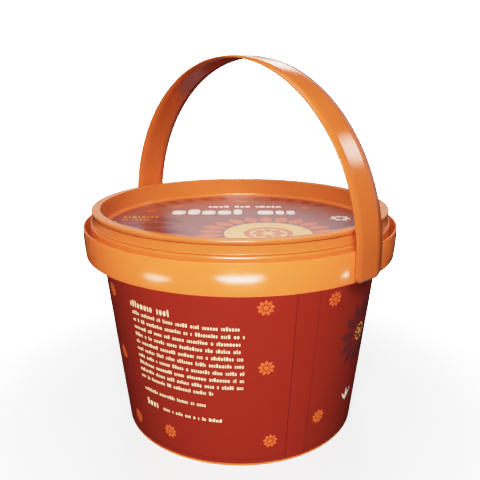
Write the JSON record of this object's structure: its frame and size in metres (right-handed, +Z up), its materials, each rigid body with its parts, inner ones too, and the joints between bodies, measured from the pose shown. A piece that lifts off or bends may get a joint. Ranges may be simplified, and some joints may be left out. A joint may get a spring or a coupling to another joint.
{
  "type": "lidded plastic food tub with strap handle",
  "caption": "Round tapered plastic food tub, shut with a sunk press-fit lid inside a splash collar, with printed labels and a swinging arched strap handle.",
  "frame": {"origin": "middle of the foot, on the surface that the tub stands on", "axes": "+Z up along the tub's axis to the top of the upright handle; X along the line of the handle's two pivots; Y across the handle's strap"},
  "size_m": [0.1428, 0.1398, 0.1642],
  "materials": {
    "tub_plastic": "glossy moulded polypropylene, orange",
    "lid_plastic": "glossy moulded polypropylene, orange",
    "handle_plastic": "glossy moulded polypropylene, orange",
    "wrap_film": "printed in-mould label film, brick red with cream and orange print",
    "lid_film": "printed label film, gloss varnished, dark red with orange and cream print"
  },
  "bodies": {
    "pack": {"tub": "tub_plastic", "lid": "lid_plastic", "wrap_label": "wrap_film", "lid_label": "lid_film"},
    "handle": {"handle": "handle_plastic"}
  },
  "joints": [
    {"name": "handle_swing", "type": "hinge", "parent": "pack", "child": "handle", "pos_m": [0, 0, 0.0875], "axis": [1, 0, 0], "range_deg": [-123, 123]}
  ]
}
